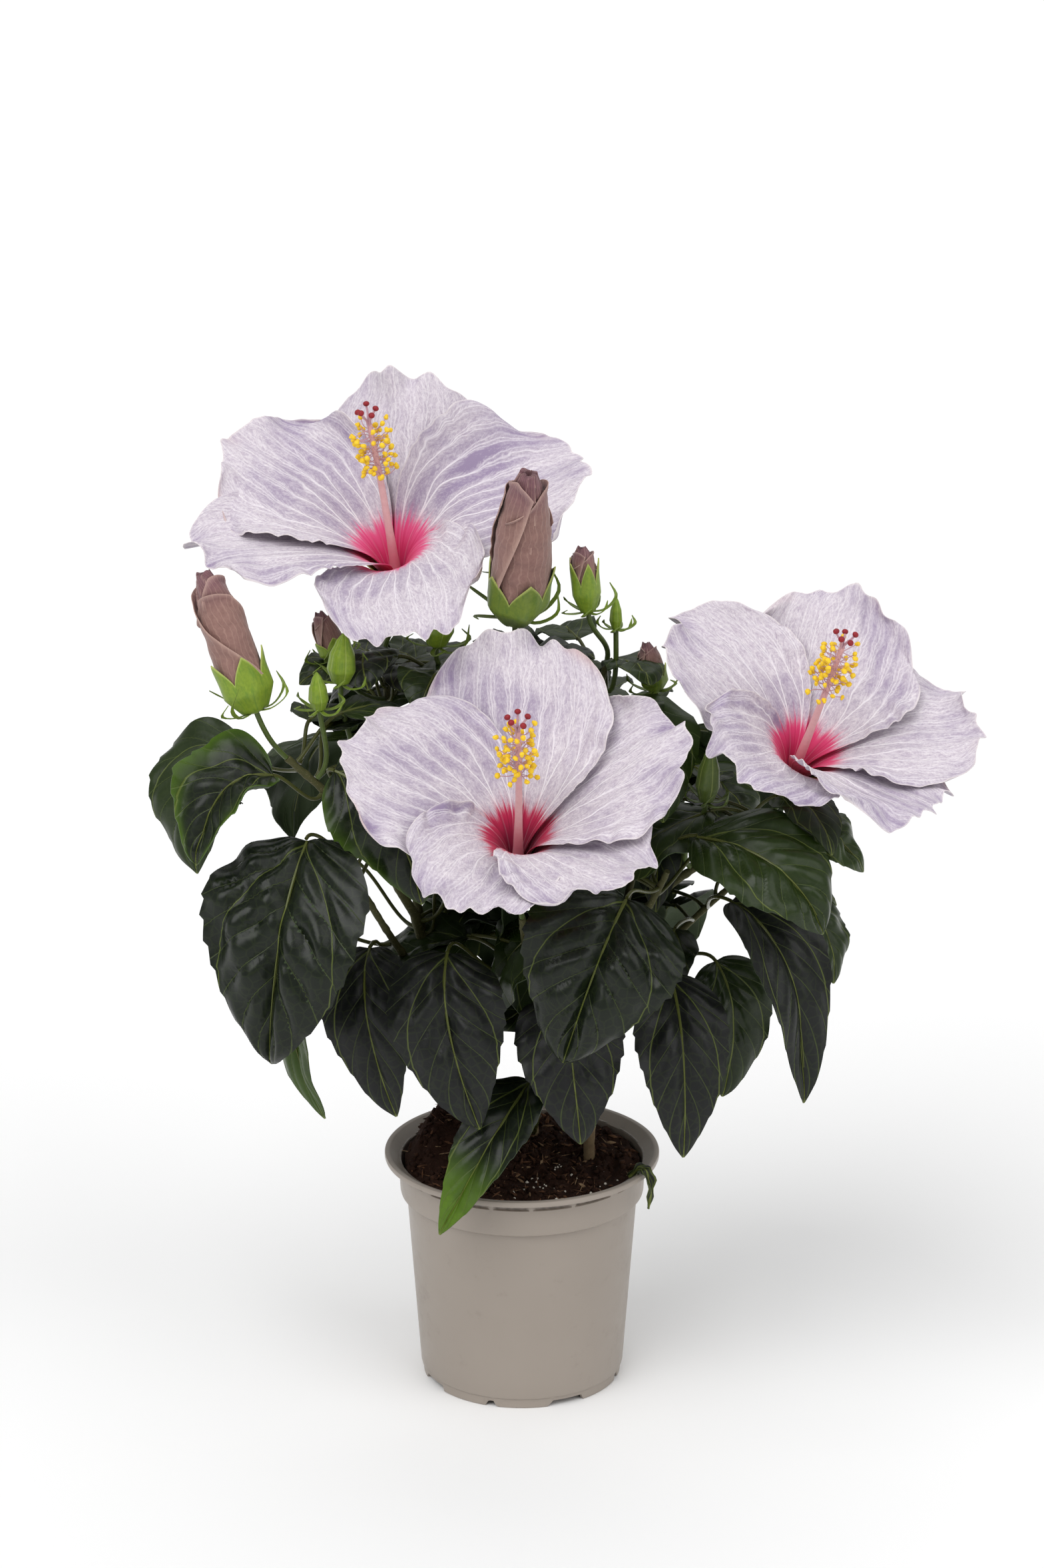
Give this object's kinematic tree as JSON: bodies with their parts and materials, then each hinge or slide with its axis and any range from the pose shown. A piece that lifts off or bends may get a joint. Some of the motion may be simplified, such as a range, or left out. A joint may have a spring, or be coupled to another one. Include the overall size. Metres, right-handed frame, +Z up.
{
  "type": "potted chinese hibiscus",
  "caption": "Potted hibiscus house plant: a round nursery pot with a wide lip, compost, woody stems, glossy toothed leaves, furled buds and large open pale lilac flowers.",
  "frame": {"origin": "middle of the whole plant's box, at the surface that the pot stands on", "axes": "+Z up, -Y towards the side shown in the picture, +X to its right"},
  "size_m": [0.3784, 0.267, 0.4739],
  "materials": {
    "pot_plastic": "satin",
    "compost": "matte",
    "bark": "matte",
    "leaf_green": "satin",
    "bud_green": "satin",
    "petal_lilac": "matte",
    "bud_brown": "matte",
    "column_pink": "matte"
  },
  "bodies": {
    "root": {"pot": "pot_plastic", "potting_soil": "compost", "stem_left": "bark", "stem_middle": "bark", "stem_right": "bark", "leaf_left_large": "leaf_green", "leaf_far_left": "leaf_green", "leaf_left_curled": "leaf_green", "leaf_inner_left": "leaf_green", "leaf_low_left": "leaf_green", "leaf_narrow_left": "leaf_green", "leaf_middle_low": "leaf_green", "leaf_over_rim": "leaf_green", "leaf_front_middle": "leaf_green", "leaf_lower_middle": "leaf_green", "leaf_low_right": "leaf_green", "leaf_right_large": "leaf_green", "leaf_right_long": "leaf_green", "leaf_right_inner": "leaf_green", "leaf_right_small": "leaf_green", "leaf_under_flower": "leaf_green", "leaf_back_left": "leaf_green", "leaf_back_middle": "leaf_green", "leaf_back_right": "leaf_green", "front_flower_petal_1": "petal_lilac", "front_flower_petal_2": "petal_lilac", "front_flower_petal_3": "petal_lilac", "front_flower_petal_4": "petal_lilac", "front_flower_petal_5": "petal_lilac", "front_flower_column": "column_pink", "front_flower_calyx": "bud_green", "left_flower_petal_1": "petal_lilac", "left_flower_petal_2": "petal_lilac", "left_flower_petal_3": "petal_lilac", "left_flower_petal_4": "petal_lilac", "left_flower_petal_5": "petal_lilac", "left_flower_column": "column_pink", "left_flower_calyx": "bud_green", "right_flower_petal_1": "petal_lilac", "right_flower_petal_2": "petal_lilac", "right_flower_petal_3": "petal_lilac", "right_flower_petal_4": "petal_lilac", "right_flower_petal_5": "petal_lilac", "right_flower_column": "column_pink", "right_flower_calyx": "bud_green", "left_bud_calyx": "bud_green", "left_bud_petals": "bud_brown", "middle_bud_calyx": "bud_green", "middle_bud_petals": "bud_brown", "tall_bud_calyx": "bud_green", "tall_bud_petals": "bud_brown", "brown_bud_calyx": "bud_green", "brown_bud_petals": "bud_brown", "hidden_bud_calyx": "bud_green", "hidden_bud_petals": "bud_brown", "stalk_bud_calyx": "bud_green", "green_bud_1_calyx": "bud_green", "green_bud_2_calyx": "bud_green", "green_bud_3_calyx": "bud_green", "green_bud_4_calyx": "bud_green"}
  },
  "joints": []
}
